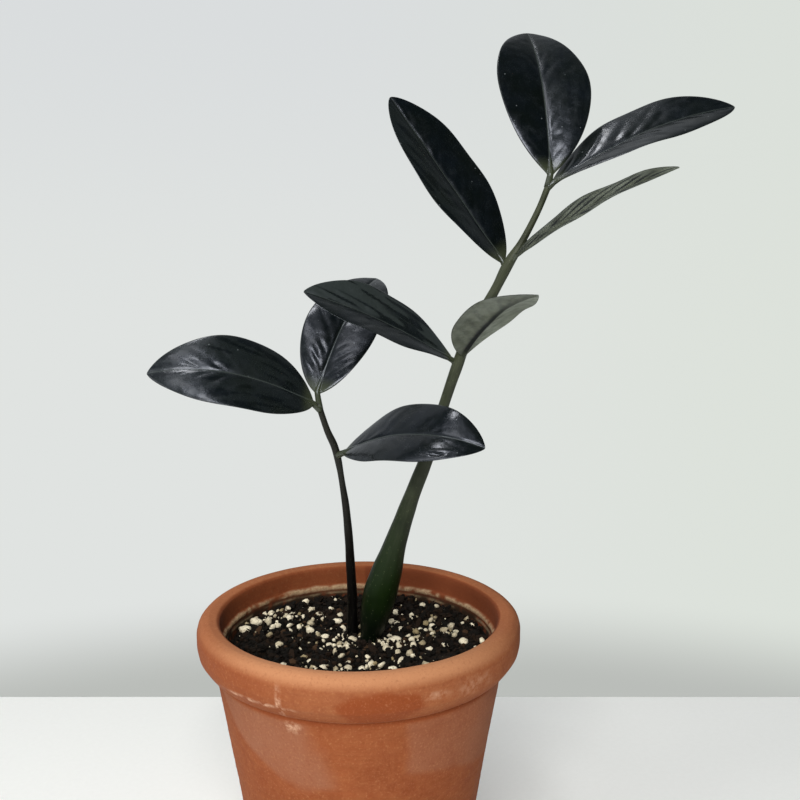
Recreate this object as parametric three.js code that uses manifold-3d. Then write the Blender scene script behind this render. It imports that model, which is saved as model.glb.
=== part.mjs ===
// A young dark-leaved zz plant (Zamioculcas) in a plain clay flowerpot.
// Millimetres, +Z up. The plant is laid out around the middle of the pot's foot; the finished group is
// then moved sideways so that its origin is the middle of the whole object's footprint.

import * as THREE from "three";
import { mergeVertices } from "three/addons/utils/BufferGeometryUtils.js";
import Module from "manifold-3d";

const wasm = await Module();
wasm.setup();

// ---------------------------------------------------------------------------------------------
// Driving dimensions

const GAP = 0.3;              // clearance wherever one piece sits in or on another
const SMALL = 0.05;           // smallest edge that a tapering end keeps

const RIM_RADIUS = 70;        // a clay pot of the common 14 cm size
const POT_HEIGHT = 125;
const RIM_BAND = 21;          // depth of the thick rolled rim
const MOUTH_RADIUS = 60;      // inside edge of the rim
const NECK_RADIUS = 62.5;     // outside of the body just under the rim
const FOOT_RADIUS = 46;
const WALL = 5.4;
const FLOOR = 8;
const DRAIN_RADIUS = 8;
const POT_SIDES = 48;

const SOIL_LEVEL = 108;       // 17 mm under the rim, room for watering
const SOIL_RISE = 3.2;        // how much higher the soil is heaped along the wall
const LEDGE_LEVEL = 115;      // small step inside the rim

const STEM_SIDES = 12;
const BLADE_ACROSS = 4;       // facets across a leaflet
const BLADE_ALONG = 13;       // facets along a leaflet
const BLADE_HALF_THICKNESS = 0.4;
const STALK_RADIUS = 1.3;     // the short stalk at a leaflet's base

// ---------------------------------------------------------------------------------------------
// Materials

function finish(color, roughness) {
  return new THREE.MeshStandardMaterial({ color, roughness, metalness: 0 });
}

const clay = finish(0xa15d3a, 0.85);
const pottingMix = finish(0x221c14, 0.95);
const perlite = finish(0xd9d2bd, 0.9);
const darkLeaf = finish(0x161c1b, 0.3);
const greyLeaf = finish(0x4a5149, 0.45);   // leaflets that show their paler undersides
const oliveStem = finish(0x31341f, 0.5);
const blackStem = finish(0x14120f, 0.5);
const tuberSkin = finish(0xa98d63, 0.8);
const rootSkin = finish(0xd5c7a6, 0.8);

// ---------------------------------------------------------------------------------------------
// Solids: a closed three.js geometry to a manifold and back

function closed(geometry) {
  geometry.deleteAttribute("normal");
  geometry.deleteAttribute("uv");
  return mergeVertices(geometry, 1e-4);
}

function toSolid(geometry) {
  const merged = closed(geometry);
  return new wasm.Manifold(new wasm.Mesh({
    numProp: 3,
    vertProperties: Float32Array.from(merged.attributes.position.array),
    triVerts: Uint32Array.from(merged.index.array),
  }));
}

function toMesh(name, solid, material) {
  const data = solid.getMesh();
  const geometry = new THREE.BufferGeometry();
  geometry.setAttribute("position", new THREE.BufferAttribute(data.vertProperties, 3));
  geometry.setIndex(new THREE.BufferAttribute(data.triVerts, 1));
  geometry.computeVertexNormals();
  const mesh = new THREE.Mesh(geometry, material);
  mesh.name = name;
  return mesh;
}

function largestPiece(solid) {
  return solid.decompose().reduce((best, piece) => (piece.volume() > best.volume() ? piece : best));
}

// Moves every corner of a geometry to shape(x, y, z).
function reshape(geometry, shape) {
  const position = geometry.attributes.position;
  const point = new THREE.Vector3();
  for (let i = 0; i < position.count; i += 1) {
    point.fromBufferAttribute(position, i);
    point.copy(shape(point.x, point.y, point.z));
    position.setXYZ(i, point.x, point.y, point.z);
  }
  return geometry;
}

// A repeatable value between 0 and 1 for a whole number.
function scatter(n) {
  const s = Math.sin(n * 12.9898) * 43758.5453;
  return s - Math.floor(s);
}

// A lathe profile is given as [radius, height] pairs; the result stands on Z.
function turned(profile, sides) {
  const points = profile.map(([radius, height]) => new THREE.Vector2(radius, height));
  return new THREE.LatheGeometry(points, sides).rotateX(Math.PI / 2);
}

// ---------------------------------------------------------------------------------------------
// Pot

// Inside radius of the pot at a height between the floor and the ledge.
function wallRadius(height) {
  const up = (height - FLOOR) / (LEDGE_LEVEL - FLOOR);
  return THREE.MathUtils.lerp(FOOT_RADIUS - WALL, MOUTH_RADIUS - 1.5, up);
}

function potSolid() {
  const bandBottom = POT_HEIGHT - RIM_BAND;
  const profile = [
    [DRAIN_RADIUS, 0],
    [FOOT_RADIUS - 1.5, 0],
    [FOOT_RADIUS, 1.5],
    [NECK_RADIUS - 0.2, bandBottom - 1.5],
    [NECK_RADIUS - 0.8, bandBottom - 0.6],
    [NECK_RADIUS + 0.4, bandBottom],
    [NECK_RADIUS + 3.2, bandBottom + 1.6],
    [RIM_RADIUS - 2.2, bandBottom + 4.2],
    [RIM_RADIUS - 0.6, bandBottom + 7],
    [RIM_RADIUS, bandBottom + 10.5],
    [RIM_RADIUS, POT_HEIGHT - 5.5],
    [RIM_RADIUS - 0.8, POT_HEIGHT - 2.6],
    [RIM_RADIUS - 2.8, POT_HEIGHT - 0.6],
    [RIM_RADIUS - 5, POT_HEIGHT],
    [MOUTH_RADIUS + 1.7, POT_HEIGHT - 0.5],
    [MOUTH_RADIUS + 0.4, POT_HEIGHT - 1.6],
    [MOUTH_RADIUS, POT_HEIGHT - 3.4],
    [MOUTH_RADIUS - 0.6, LEDGE_LEVEL + 0.6],
    [wallRadius(LEDGE_LEVEL), LEDGE_LEVEL],
    [wallRadius(FLOOR + 3), FLOOR + 3],
    [wallRadius(FLOOR) - 2.5, FLOOR],
    [DRAIN_RADIUS, FLOOR],
    [DRAIN_RADIUS, 0],
  ];
  return toSolid(turned(profile, POT_SIDES));
}

// ---------------------------------------------------------------------------------------------
// Stems, rhizome and roots

// A round stem through stations [x, y, z, radius]. swell adds the same amount to every radius.
function stemSolid(stations, steps, sides, swell = 0) {
  const points = stations.map(([x, y, z]) => new THREE.Vector3(x, y, z));
  const curve = new THREE.CatmullRomCurve3(points, false, "catmullrom", 0.5);
  const frames = curve.computeFrenetFrames(steps, false);
  const last = stations.length - 1;
  const radiusAt = (u) => {
    const along = curve.getUtoTmapping(u, 0) * last;
    const i = Math.min(Math.floor(along), last - 1);
    return THREE.MathUtils.lerp(stations[i][3], stations[i + 1][3], along - i) + swell;
  };
  const unit = new THREE.CylinderGeometry(1, 1, 1, sides, steps);
  return toSolid(reshape(unit, (x, y, z) => {
    const ring = Math.round((y + 0.5) * steps);
    const radius = radiusAt(ring / steps);
    return curve.getPointAt(ring / steps)
      .addScaledVector(frames.normals[ring], x * radius)
      .addScaledVector(frames.binormals[ring], -z * radius)
      .addScaledVector(frames.tangents[ring], swell * Math.sign(y) * (Math.abs(y) === 0.5));
  }));
}

const MAIN_STEM = [
  [4, 7.6, 95, 3.8],
  [4.4, 7.2, 105, 4.1],
  [5, 6.6, 112, 4.9],
  [6.3, 6.1, 118, 6.3],
  [7.8, 5.7, 125, 7],
  [9.5, 5.2, 132, 7.3],
  [12.1, 4.5, 141, 6.6],
  [16.1, 3.6, 155, 4.8],
  [22, 2.3, 173, 3.5],
  [29, 1.1, 192, 3],
  [36.6, -0.5, 217, 2.3],
  [41.8, -1.8, 233, 2.4],
  [46.6, -2.7, 246, 2.1],
  [56.6, -3.9, 264, 2],
  [62, -4.6, 275, 2.2],
  [67.4, -5.3, 284, 1.5],
  [73.6, -6.1, 296.5, 1.35],
  [78.2, -7, 308.6, 1.2],
];

const SIDE_STEM = [
  [-3.2, 14.4, 94, 2.3],
  [-3.7, 13.9, 108, 2.5],
  [-3.6, 12.6, 125, 2.35],
  [-4.4, 11.1, 144, 2],
  [-5.5, 9.5, 163, 1.8],
  [-7.6, 8, 181, 1.45],
  [-10.1, 6.9, 195, 1.5],
  [-13.7, 6.2, 204, 1.4],
  [-17.4, 5.3, 216, 1.25],
];

const RHIZOME = { centre: [1, 10, 84], radii: [21, 15, 14] };

// A potato-like tuber: an ellipsoid with shallow swellings.
function rhizomeSolid(swell = 0) {
  const [cx, cy, cz] = RHIZOME.centre;
  const [rx, ry, rz] = RHIZOME.radii;
  const ball = new THREE.SphereGeometry(1, 16, 10);
  return toSolid(reshape(ball, (x, y, z) => {
    const lump = 1 + 0.06 * Math.sin(3 * x + 1) * Math.cos(4 * y);
    return new THREE.Vector3(
      cx + x * (rx * lump + swell),
      cy + y * (ry * lump + swell),
      cz + z * (rz * lump + swell),
    );
  }));
}

// Fleshy roots leave the tuber all round and follow the inside of the pot downwards.
const ROOT_COUNT = 6;

function rootSolid(index, swell = 0) {
  const [cx, cy, cz] = RHIZOME.centre;
  const turn = (index / ROOT_COUNT) * 2 * Math.PI + 0.4;
  const tipHeight = 28 + 7 * (index % 3);
  const station = (radius, bend, height, thickness) => [
    radius * Math.cos(turn + bend), radius * Math.sin(turn + bend), height, thickness,
  ];
  const stations = [
    [cx, cy, cz - 2, 1.9],
    station(27, 0.05, 72, 1.9),
    station(35, 0.2, (72 + tipHeight) / 2, 1.6),
    station(34, 0.35, tipHeight, 0.9),
  ];
  return stemSolid(stations, 10, 8, swell);
}

// ---------------------------------------------------------------------------------------------
// Leaflets

// Each leaflet is a blade on a short stalk.
//   joint        where the stalk starts, on the middle line of its stem
//   base         where the blade starts
//   heading, rise, roll   the blade's direction at its base: about Z, above level, about itself (degrees)
//   arch, twist  how far it has bent down, and turned about its midrib, by the tip (degrees)
//   sway         sideways shift of the tip, as a share of the length
//   length, half blade length, and half its width at the widest place
//   widest       where along the length the widest place is
//   taper        how the width runs out: below 1 is blunt, 1 is straight sided
//   fold         how steeply the two halves rise from the midrib (degrees)
//   cup          how much the margins curl back down, as a share of the half width
const LEAFLETS = [
  { name: "leaflet_top", material: darkLeaf, joint: [77.2, -6.8, 306], base: [78, -7, 310.5],
    heading: 94, rise: 73, roll: -3, arch: 41, twist: 0, sway: 0.01,
    length: 77.5, half: 19, widest: 0.53, taper: 0.74, fold: 14, cup: 0.11 },
  { name: "leaflet_upper_right", material: darkLeaf, joint: [77, -6.7, 305.4], base: [79.2, -7, 307.3],
    heading: 3, rise: 33.5, roll: -17, arch: 26, twist: -26, sway: -0.02,
    length: 80.5, half: 16, widest: 0.5, taper: 0.74, fold: 17, cup: 0.11 },
  { name: "leaflet_lower_right", material: greyLeaf, joint: [61.4, -4.5, 274], base: [64.6, -6, 278.3],
    heading: 9.5, rise: 36.5, roll: 22.5, arch: 21, twist: -6, sway: 0.01,
    length: 77, half: 15.5, widest: 0.49, taper: 0.76, fold: 12, cup: 0.14 },
  { name: "leaflet_upper_left", material: darkLeaf, joint: [61.8, -4.5, 272.6], base: [60, -4, 275.8],
    heading: 170, rise: 55, roll: 35, arch: 2, twist: 8, sway: -0.01,
    length: 81.5, half: 16.5, widest: 0.5, taper: 0.69, fold: 17, cup: 0.11 },
  { name: "leaflet_middle_left", material: darkLeaf, joint: [40.6, -1.6, 231], base: [40, -2, 234.8],
    heading: 198, rise: 32, roll: 29, arch: 17, twist: 15, sway: 0,
    length: 69.5, half: 16.5, widest: 0.52, taper: 0.78, fold: 19, cup: 0.1 },
  { name: "leaflet_middle_right", material: greyLeaf, joint: [41.8, -1.8, 233], base: [44, -3.2, 237],
    heading: -71, rise: 36, roll: -11, arch: 26, twist: 21, sway: 0.01,
    length: 68.5, half: 14, widest: 0.46, taper: 1, fold: 21, cup: 0.19 },
  { name: "leaflet_side_left", material: darkLeaf, joint: [-16.4, 5.6, 212.6], base: [-19.4, 5, 215.5],
    heading: 212, rise: 31, roll: 49, arch: 59, twist: 12, sway: 0.01,
    length: 73.5, half: 17.5, widest: 0.47, taper: 0.76, fold: 11, cup: 0.14 },
  { name: "leaflet_side_middle", material: darkLeaf, joint: [-16.6, 5.5, 213.4], base: [-17.6, 6, 220],
    heading: 57, rise: 61, roll: -19, arch: 52, twist: -4, sway: -0.02,
    length: 76.5, half: 17, widest: 0.47, taper: 0.74, fold: 12, cup: 0.14 },
  { name: "leaflet_side_right", material: darkLeaf, joint: [-9.4, 7.2, 192.4], base: [-6.2, 3.4, 194.4],
    heading: -45, rise: 28, roll: -36, arch: 53, twist: -8, sway: -0.02,
    length: 71.5, half: 16.5, widest: 0.52, taper: 0.76, fold: 12, cup: 0.14 },
];

// The midrib as a row of points with their frames, one per step of share s from 0 to 1. It leaves the base
// along `forward` and bends towards -`up` by arch * s^1.3.
function midrib(leaf, steps) {
  const rad = THREE.MathUtils.degToRad;
  const [heading, rise, roll] = [rad(leaf.heading), rad(leaf.rise), rad(leaf.roll)];
  const forward = new THREE.Vector3(
    Math.cos(rise) * Math.cos(heading), Math.cos(rise) * Math.sin(heading), Math.sin(rise),
  );
  const left = new THREE.Vector3(-Math.sin(heading), Math.cos(heading), 0).applyAxisAngle(forward, -roll);
  const up = new THREE.Vector3().crossVectors(forward, left);
  const fine = 20;
  const point = new THREE.Vector3(...leaf.base);
  const rows = [];
  for (let i = 0; i <= steps * fine; i += 1) {
    const s = i / (steps * fine);
    const bend = rad(leaf.arch) * s ** 1.3;
    const ahead = forward.clone().multiplyScalar(Math.cos(bend)).addScaledVector(up, -Math.sin(bend));
    const above = up.clone().multiplyScalar(Math.cos(bend)).addScaledVector(forward, Math.sin(bend));
    if (i % fine === 0) {
      const turn = rad(leaf.twist) * s;
      rows.push({
        point: point.clone().addScaledVector(left, leaf.sway * leaf.length * s * s),
        ahead,
        side: left.clone().multiplyScalar(Math.cos(turn)).addScaledVector(above, -Math.sin(turn)),
        above: above.clone().multiplyScalar(Math.cos(turn)).addScaledVector(left, Math.sin(turn)),
      });
    }
    point.addScaledVector(ahead, leaf.length / (steps * fine));
  }
  return rows;
}

// Half width of the blade at share s of its length.
function halfWidth(leaf, s) {
  const baseTaper = (leaf.taper * leaf.widest) / (1 - leaf.widest);
  return leaf.half * (s / leaf.widest) ** baseTaper * ((1 - s) / (1 - leaf.widest)) ** leaf.taper;
}

// A flat box, with its x across, its y along and its z through the blade, is bent to the leaflet's shape.
// The first STALK_ROWS rows of it are the stalk.
const STALK_ROWS = 2;

function leafletSolid(leaf) {
  const rows = midrib(leaf, BLADE_ALONG);
  const joint = new THREE.Vector3(...leaf.joint);
  const fold = THREE.MathUtils.degToRad(leaf.fold);
  const total = BLADE_ALONG + STALK_ROWS;
  const box = new THREE.BoxGeometry(2, 1, 2, BLADE_ACROSS, total, 1);
  return toSolid(reshape(box, (x, y, z) => {
    const row = Math.round((y + 0.5) * total) - STALK_ROWS;
    const s = Math.max(row, 0) / BLADE_ALONG;
    const { point, side, above } = rows[Math.max(row, 0)];
    const middle = row < 0 ? point.clone().lerp(joint, -row / STALK_ROWS) : point;
    const across = -x;
    const stalk = STALK_RADIUS * (1 - s) ** 2;
    const width = Math.hypot(halfWidth(leaf, s), stalk) + SMALL;
    const blade = halfWidth(leaf, s) / width;
    const lift = blade * width * (Math.abs(across) * Math.sin(fold) - leaf.cup * across * across);
    const round = stalk * Math.sqrt(Math.max(0, 1 - (across * width / STALK_RADIUS) ** 2));
    const depth = Math.min(BLADE_HALF_THICKNESS, width) + Math.max(0, round - BLADE_HALF_THICKNESS);
    return middle.clone()
      .addScaledVector(side, across * width * (1 - blade * (1 - Math.cos(fold))))
      .addScaledVector(above, lift + z * depth);
  }));
}

// ---------------------------------------------------------------------------------------------
// Potting mix and its perlite grains

function soilHeight(x, y) {
  const lumps = 0.5 * Math.sin(x / 7) * Math.cos(y / 9) + 0.3 * Math.sin((x + 2 * y) / 6);
  return SOIL_LEVEL + lumps + SOIL_RISE * THREE.MathUtils.smoothstep(Math.hypot(x, y), 24, 50);
}

function soilSolid() {
  const bottom = FLOOR + GAP;
  const edge = (height) => wallRadius(height) - GAP;
  const profile = [
    [0, bottom],
    [wallRadius(FLOOR) - 3.5, bottom],
    [edge(FLOOR + 3) - 0.2, FLOOR + 3.2],
    [edge(60), 60],
    [edge(SOIL_LEVEL), SOIL_LEVEL - 1.5],
    [46, SOIL_LEVEL],
    [34, SOIL_LEVEL],
    [22, SOIL_LEVEL],
    [10, SOIL_LEVEL],
    [0, SOIL_LEVEL],
  ];
  return toSolid(reshape(turned(profile, POT_SIDES), (x, y, z) => {
    const drop = SOIL_LEVEL - z;      // the surface's outermost ring lies a little lower
    return new THREE.Vector3(x, y, drop < 2 ? soilHeight(x, y) - drop : z);
  }));
}

// The largest perlite grains on the surface: [x, y, width].
const GRAINS = [
  [-52, 9, 6], [-48.5, 18.5, 5.8], [-42, 26.5, 5], [-35.5, 28, 4.4], [-38.5, 17, 4.4], [-28.5, 17.5, 3.6],
  [-23, 15, 4.5], [-35, -2.5, 3.8], [-11.5, 25.5, 4.2], [-8.5, 18.5, 4], [-3.5, 6, 4.6], [-16, 9.5, 3.8],
  [-20, -17.5, 3.8], [-4, -24, 4.3], [2, -24, 4], [15.5, 6, 5], [12, -5, 4.6], [17.5, -1.5, 4.6],
  [18, 18, 3.8], [14, 27.5, 4.2], [16, 34, 4.2], [23.5, 29, 3.8], [32.5, 17.5, 4], [38, 12.5, 4.6],
  [43, 8.5, 3.4], [45.5, -4, 4.6], [53.5, -4.5, 3.4], [14.5, -25, 4],
];

// A chipped, slightly flat grain with about a third of it in the soil.
function grainSolid(index, swell = 0) {
  const [x, y, width] = GRAINS[index];
  const lump = new THREE.IcosahedronGeometry(1, 0);
  lump.rotateX(6.28 * scatter(index)).rotateY(6.28 * scatter(index + 50));
  const centre = new THREE.Vector3(x, y, soilHeight(x, y) + 0.15 * width);
  return toSolid(reshape(lump, (a, b, c) => {
    const chip = 0.97 + 0.13 * Math.sin(5 * a + 3 * b + 7 * c + index);
    return new THREE.Vector3(a * 1.12, b * 0.86, c * 0.68)
      .multiplyScalar(chip * width / 2 + swell)
      .applyAxisAngle(new THREE.Vector3(0, 0, 1), 3.14 * scatter(index + 90))
      .add(centre);
  }));
}

// ---------------------------------------------------------------------------------------------
// Assembly: every piece that sits in another one leaves it a bed that is GAP wider

const mainStem = stemSolid(MAIN_STEM, 36, STEM_SIDES);
const mainBed = stemSolid(MAIN_STEM, 36, STEM_SIDES, GAP);
const sideStem = stemSolid(SIDE_STEM, 24, STEM_SIDES - 2);
const sideBed = stemSolid(SIDE_STEM, 24, STEM_SIDES - 2, GAP);
const rhizomeBed = rhizomeSolid(GAP);

const plant = new THREE.Group();
plant.add(toMesh("pot", potSolid(), clay));
plant.add(toMesh("main_stem", mainStem, oliveStem));
plant.add(toMesh("side_stem", sideStem, blackStem));
plant.add(toMesh("rhizome", rhizomeSolid().subtract(mainBed).subtract(sideBed), tuberSkin));

let soil = soilSolid().subtract(mainBed).subtract(sideBed).subtract(rhizomeBed);
for (let i = 0; i < ROOT_COUNT; i += 1) {
  plant.add(toMesh(`root_${i + 1}`, largestPiece(rootSolid(i).subtract(rhizomeBed)), rootSkin));
  soil = soil.subtract(rootSolid(i, GAP));
}
for (let i = 0; i < GRAINS.length; i += 1) {
  plant.add(toMesh(`perlite_${String(i + 1).padStart(2, "0")}`, grainSolid(i), perlite));
  soil = soil.subtract(grainSolid(i, GAP));
}
plant.add(toMesh("soil", largestPiece(soil), pottingMix));

for (const leaf of LEAFLETS) {
  const blade = leafletSolid(leaf).subtract(mainBed).subtract(sideBed);
  plant.add(toMesh(leaf.name, largestPiece(blade), leaf.material));
}

const footprint = new THREE.Box3().setFromObject(plant).getCenter(new THREE.Vector3());
plant.position.set(-footprint.x, -footprint.y, 0);

const object = new THREE.Group();
object.add(plant);

export default object;
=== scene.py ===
"""A potted zz plant of the black-leaved kind: two shoots with nine waxy leaflets in a 14 cm clay pot.
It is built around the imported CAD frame. Shapes are worked out in millimetres around the pot's axis."""

import math

import bpy
import numpy as np
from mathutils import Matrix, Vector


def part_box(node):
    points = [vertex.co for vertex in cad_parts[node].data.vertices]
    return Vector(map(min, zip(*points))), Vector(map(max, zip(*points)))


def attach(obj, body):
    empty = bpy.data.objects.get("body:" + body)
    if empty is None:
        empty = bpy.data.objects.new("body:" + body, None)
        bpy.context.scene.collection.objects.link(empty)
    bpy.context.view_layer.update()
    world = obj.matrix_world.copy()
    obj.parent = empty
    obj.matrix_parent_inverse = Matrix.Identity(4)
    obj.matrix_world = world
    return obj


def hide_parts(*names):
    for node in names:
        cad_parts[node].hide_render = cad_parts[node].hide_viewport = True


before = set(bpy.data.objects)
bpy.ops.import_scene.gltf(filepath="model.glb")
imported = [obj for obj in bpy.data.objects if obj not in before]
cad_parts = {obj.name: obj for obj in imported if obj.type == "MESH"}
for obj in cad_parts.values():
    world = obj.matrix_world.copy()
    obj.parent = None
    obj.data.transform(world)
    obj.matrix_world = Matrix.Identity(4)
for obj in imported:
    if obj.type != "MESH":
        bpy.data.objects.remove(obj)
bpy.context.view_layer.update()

# ----------------------------------------------------------------------------------------------------------
# The viewpoint: a phone-like camera in front of the pot at leaf height, looking down on the soil.
# The lens takes in 44 degrees, and there is no blur and no shift.
# ----------------------------------------------------------------------------------------------------------
MM = 0.001
POT_LOW, POT_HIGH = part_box("pot")
POT_AXIS = np.array([(POT_LOW.x + POT_HIGH.x) / 2, (POT_LOW.y + POT_HIGH.y) / 2, 0.0])
CAMERA_AT = np.array([17.8, -417.0, 287.0])
CAMERA_DIP = 9.4  # degrees below level

camera_data = bpy.data.cameras.new("camera")
camera_data.lens = 45
camera_data.sensor_width = 36
camera = bpy.data.objects.new("camera", camera_data)
camera.location = POT_AXIS + CAMERA_AT * MM
camera.rotation_euler = (math.radians(90 - CAMERA_DIP), 0, 0)
bpy.context.scene.collection.objects.link(camera)
bpy.context.scene.camera = camera
bpy.context.scene.view_settings.view_transform = "Standard"

# ----------------------------------------------------------------------------------------------------------
# The stand: a plain white laminate table top, whose far edge is a hand's width behind the pot.
# It is a sheet with rounded corners and a softly rounded edge, and it isn't part of the plant.
# ----------------------------------------------------------------------------------------------------------
TABLE_HALF_WIDTH = 900.0
TABLE_NEAR, TABLE_FAR = -1100.0, 176.0
TABLE_THICKNESS = 22.0


def linear(code):
    """The linear colour of an sRGB hex code, as the shader sockets want it."""
    share = np.array([int(code[i : i + 2], 16) for i in (0, 2, 4)]) / 255
    low, high = share / 12.92, ((share + 0.055) / 1.055) ** 2.4
    return (*np.where(share <= 0.04045, low, high).tolist(), 1.0)


def add(tree, kind, inputs=None, **settings):
    """Adds one shader node. settings are its own properties, and inputs gives each socket a value or the
    output that it is linked to."""
    node = tree.nodes.new("ShaderNode" + kind)
    for name, value in settings.items():
        setattr(node, name, value)
    for socket, value in (inputs or {}).items():
        if isinstance(value, bpy.types.NodeSocket):
            tree.links.new(value, node.inputs[socket])
        else:
            node.inputs[socket].default_value = value
    return node


def blank_material(name):
    """A material whose node tree holds nothing yet."""
    material = bpy.data.materials.new(name)
    material.use_nodes = True
    material.node_tree.nodes.clear()
    return material, material.node_tree


def closed_mesh(name, points, faces, smooth):
    """One mesh object from points in mm around the pot's axis and arrays of faces with 3 or 4 corners each.
    The faces are turned over when the volume they enclose comes out negative."""
    volume = 0.0
    for group in faces:
        for k in range(1, group.shape[1] - 1):
            a, b, c = points[group[:, 0]], points[group[:, k]], points[group[:, k + 1]]
            volume += np.einsum("ij,ij->", a, np.cross(b, c)) / 6
    if volume < 0:
        faces = [group[:, ::-1] for group in faces]
    mesh = bpy.data.meshes.new(name)
    mesh.vertices.add(len(points))
    mesh.vertices.foreach_set("co", (points * MM + POT_AXIS).astype(np.float32).ravel())
    corners = np.concatenate([group.ravel() for group in faces])
    sizes = np.concatenate([np.full(len(group), group.shape[1]) for group in faces])
    mesh.loops.add(len(corners))
    mesh.loops.foreach_set("vertex_index", corners.astype(np.int32))
    mesh.polygons.add(len(sizes))
    mesh.polygons.foreach_set("loop_start", (np.cumsum(sizes) - sizes).astype(np.int32))
    mesh.polygons.foreach_set("use_smooth", np.full(len(sizes), smooth))
    mesh.update(calc_edges=True)
    mesh.validate()
    piece = bpy.data.objects.new(name, mesh)
    bpy.context.scene.collection.objects.link(piece)
    return piece


def loft(name, rings, looped=False, smooth=True):
    """A closed surface over rings of points, an array of ring by point by 3. Each ring is joined to the next
    with four-cornered faces. looped joins the last to the first, and otherwise a fan closes each end."""
    count, around = rings.shape[:2]
    points = rings.reshape(-1, 3)
    index = np.arange(count * around).reshape(count, around)
    here = index if looped else index[:-1]
    there = np.roll(index, -1, axis=0) if looped else index[1:]
    beside = [np.roll(rows, -1, axis=1) for rows in (here, there)]
    faces = [np.stack([here, beside[0], beside[1], there], axis=-1).reshape(-1, 4)]
    if not looped:
        middles = [rings[0].mean(0), rings[-1].mean(0)]
        points = np.vstack([points, middles])
        first, last, next_last = index[0], index[-1], np.roll(index[-1], -1)
        hub = np.full(around, count * around)
        faces.append(np.stack([hub, np.roll(first, -1), first], axis=-1))
        faces.append(np.stack([hub + 1, last, next_last], axis=-1))
    return closed_mesh(name, points, faces, smooth)


CORNER_POWER = 0.16  # of the sine and cosine: 1 would be an oval, and 0 a sharp-cornered sheet
corner_turn = np.linspace(0, 2 * np.pi, 96, endpoint=False)
corner_x, corner_y = (
    np.sign(wave) * np.abs(wave) ** CORNER_POWER for wave in (np.cos(corner_turn), np.sin(corner_turn))
)
table_rings = []
for inset, drop in ((30.0, 0.0), (3.0, 0.0), (0.9, -0.9), (0.0, -3.0), (0.0, -TABLE_THICKNESS)):
    ring_x = corner_x * (TABLE_HALF_WIDTH - inset)
    ring_y = corner_y * ((TABLE_FAR - TABLE_NEAR) / 2 - inset) + (TABLE_FAR + TABLE_NEAR) / 2
    table_rings.append(np.stack([ring_x, ring_y, np.full(len(corner_turn), drop)], -1))
table_top = loft("table_top", np.array(table_rings), smooth=False)

# White laminate, pressed with a fine grain: a flat white with an even, quite dull sheen.
laminate, tree = blank_material("white_laminate")
place = add(tree, "TexCoord").outputs["Object"]
fleck = add(tree, "TexNoise", {"Vector": place, "Scale": 1 / (2.5 * MM), "Detail": 3.0}).outputs["Fac"]
white = add(tree, "Mix", {0: fleck, 6: linear("F1F2F2"), 7: linear("F7F8F8")}, data_type="RGBA").outputs[2]
relief = add(tree, "Bump", {"Height": fleck, "Strength": 0.05, "Distance": 0.1 * MM}).outputs[0]
finish = add(tree, "BsdfPrincipled", {"Base Color": white, "Roughness": 0.55, "Normal": relief})
add(tree, "OutputMaterial", {"Surface": finish.outputs[0]})
table_top.data.materials.append(laminate)

# ----------------------------------------------------------------------------------------------------------
# The light: a white room with wide windows to the left and in front, two small high panes, a skylight, and a
# lamp behind. The waxy leaflets mirror the small ones as pale patches, and the dim right side as black.
# ----------------------------------------------------------------------------------------------------------
BACKDROP_TOP, BACKDROP_MIDDLE, BACKDROP_LOW = linear("DADDDE"), linear("E0E3E1"), linear("BABDB9")
BACKDROP_RIGHT = linear("DBE1D8")
ROOM_WALL, ROOM_LEFT, ROOM_DIM = linear("B2B6B8"), linear("9EA4A6"), linear("363C3D")
ROOM_CEILING = linear("D2D5D6")
LIGHT_AIM = np.array([30.0, 0.0, 190.0])
PANELS = [
    # name, degrees to the right of the camera and up, distance, width and height in mm, watts, colour
    ("window_left_pane", -20.0, 56.0, 1500.0, 240.0, 280.0, 3.4, "FFFEFA"),
    ("window_right_pane", 8.0, 40.0, 1500.0, 220.0, 280.0, 3.4, "FFFEFA"),
    ("skylight", -52.0, 64.0, 1400.0, 300.0, 300.0, 1.2, "FFFDF8"),
    ("ceiling_lamp", -127.0, 70.0, 1400.0, 260.0, 260.0, 3.2, "FFFEFA"),
    ("left_window", -64.0, 26.0, 1500.0, 900.0, 700.0, 4.2, "FFFDF6"),
    ("front_window", -8.0, 29.0, 1700.0, 900.0, 500.0, 19.5, "FFFDF6"),
]

room = bpy.data.worlds.new("white_room")
room.use_nodes = True
tree = room.node_tree
tree.nodes.clear()
toward = add(tree, "TexCoord").outputs["Generated"]
way = add(tree, "SeparateXYZ", {0: toward}).outputs
soft = {  # shares that go softly from least to most while one part of the way goes from start to end
    name: add(
        tree,
        "MapRange",
        {0: way[part], 1: start, 2: end, 3: least, 4: most},
        interpolation_type="SMOOTHSTEP",
    ).outputs[0]
    for name, part, start, end, least, most in (
        ("near_table", "Z", -0.34, -0.42, 0.0, 1.0),
        ("above_eye", "Z", -0.1, 0.22, 0.0, 1.0),
        ("rightward", "X", -0.1, 0.4, 0.0, 0.7),
        ("behind_plant", "Y", 0.0, 0.75, 0.0, 1.0),
        ("leftward", "X", 0.1, -0.7, 0.0, 1.0),
        ("off_dim_side", "X", 0.1, 0.32, 1.0, 0.3),
        ("overhead", "Z", 0.72, 0.98, 0.0, 1.0),
        ("left_overhead", "X", 0.12, -0.25, 0.0, 1.0),
    )
}
lit_wall, lit_ceiling = (
    add(tree, "Math", {0: soft[one], 1: soft[other]}, operation="MULTIPLY").outputs[0]
    for one, other in (("behind_plant", "off_dim_side"), ("overhead", "left_overhead"))
)
scenes = []  # the room that the plant mirrors, and the backdrop that the camera sees
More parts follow.
